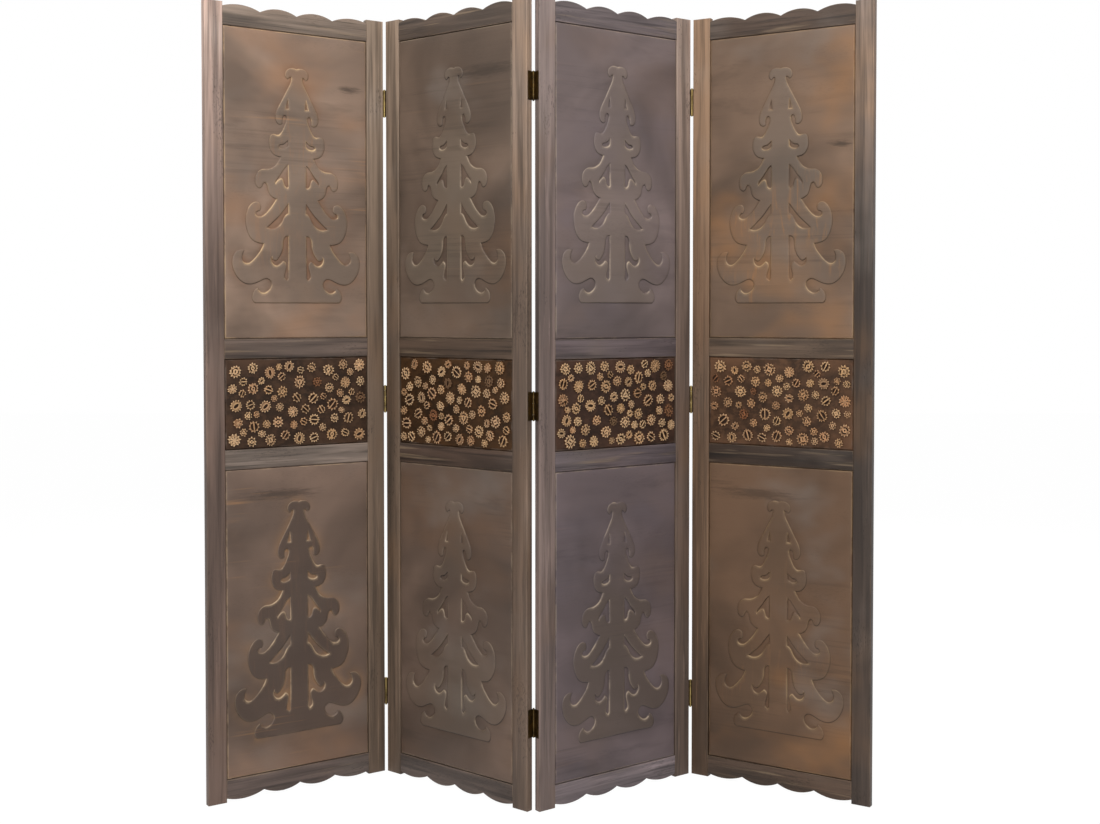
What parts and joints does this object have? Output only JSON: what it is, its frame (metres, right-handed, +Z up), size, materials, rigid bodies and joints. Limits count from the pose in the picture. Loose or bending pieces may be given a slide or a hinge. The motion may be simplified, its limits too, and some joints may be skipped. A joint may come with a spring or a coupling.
{
  "type": "folding screen",
  "caption": "Wooden folding screen of hinged framed leaves with carved scroll-tree panels, a band of cone slices and scalloped rails, standing in a zigzag.",
  "frame": {"origin": "on the floor, in the middle of the footprint of the zigzag at rest", "axes": "+Z up, +X to the right seen from the front, -Y towards the carved front faces"},
  "size_m": [1.4992, 0.2944, 1.8],
  "materials": {
    "frame_wood": "dark brown stained, worn, open grain",
    "panel_wood": "brown stained and rubbed, satin",
    "dark_ground": "almost black stain",
    "cone_slices": "raw tan slices with dark hollows",
    "hinge_brass": "aged brass",
    "screw_brass": "aged brass"
  },
  "bodies": {
    "leaf_1": {"leaf1_left_stile": "frame_wood", "leaf1_right_stile": "frame_wood", "leaf1_bottom_rail": "frame_wood", "leaf1_lower_mid_rail": "frame_wood", "leaf1_upper_mid_rail": "frame_wood", "leaf1_top_rail": "frame_wood", "leaf1_lower_panel": "panel_wood", "leaf1_middle_panel": "dark_ground", "leaf1_upper_panel": "panel_wood", "leaf1_slices": "cone_slices", "hinge1_left_plates": "hinge_brass", "hinge1_left_screws": "screw_brass", "hinge1_pins": "hinge_brass"},
    "leaf_2": {"leaf2_left_stile": "frame_wood", "leaf2_right_stile": "frame_wood", "leaf2_bottom_rail": "frame_wood", "leaf2_lower_mid_rail": "frame_wood", "leaf2_upper_mid_rail": "frame_wood", "leaf2_top_rail": "frame_wood", "leaf2_lower_panel": "panel_wood", "leaf2_middle_panel": "dark_ground", "leaf2_upper_panel": "panel_wood", "leaf2_slices": "cone_slices", "hinge1_right_plates": "hinge_brass", "hinge1_right_screws": "screw_brass", "hinge2_left_plates": "hinge_brass", "hinge2_left_screws": "screw_brass", "hinge2_pins": "hinge_brass"},
    "leaf_3": {"leaf3_left_stile": "frame_wood", "leaf3_right_stile": "frame_wood", "leaf3_bottom_rail": "frame_wood", "leaf3_lower_mid_rail": "frame_wood", "leaf3_upper_mid_rail": "frame_wood", "leaf3_top_rail": "frame_wood", "leaf3_lower_panel": "panel_wood", "leaf3_middle_panel": "dark_ground", "leaf3_upper_panel": "panel_wood", "leaf3_slices": "cone_slices", "hinge2_right_plates": "hinge_brass", "hinge2_right_screws": "screw_brass", "hinge3_left_plates": "hinge_brass", "hinge3_left_screws": "screw_brass", "hinge3_pins": "hinge_brass"},
    "leaf_4": {"leaf4_left_stile": "frame_wood", "leaf4_right_stile": "frame_wood", "leaf4_bottom_rail": "frame_wood", "leaf4_lower_mid_rail": "frame_wood", "leaf4_upper_mid_rail": "frame_wood", "leaf4_top_rail": "frame_wood", "leaf4_lower_panel": "panel_wood", "leaf4_middle_panel": "dark_ground", "leaf4_upper_panel": "panel_wood", "leaf4_slices": "cone_slices", "hinge3_right_plates": "hinge_brass", "hinge3_right_screws": "screw_brass"}
  },
  "joints": [
    {"name": "fold_1", "type": "hinge", "parent": "leaf_2", "child": "leaf_1", "pos_m": [-0.37033, 0.13012, 0.9], "axis": [0, 0, 1], "range_deg": [-72.8, 107.2]},
    {"name": "fold_2", "type": "hinge", "parent": "leaf_2", "child": "leaf_3", "pos_m": [-0.0114, -0.13064, 0.9], "axis": [0, 0, 1], "range_deg": [-75, 105]},
    {"name": "fold_3", "type": "hinge", "parent": "leaf_3", "child": "leaf_4", "pos_m": [0.36152, 0.10968, 0.9], "axis": [0, 0, -1], "range_deg": [-67.3, 112.7]}
  ]
}
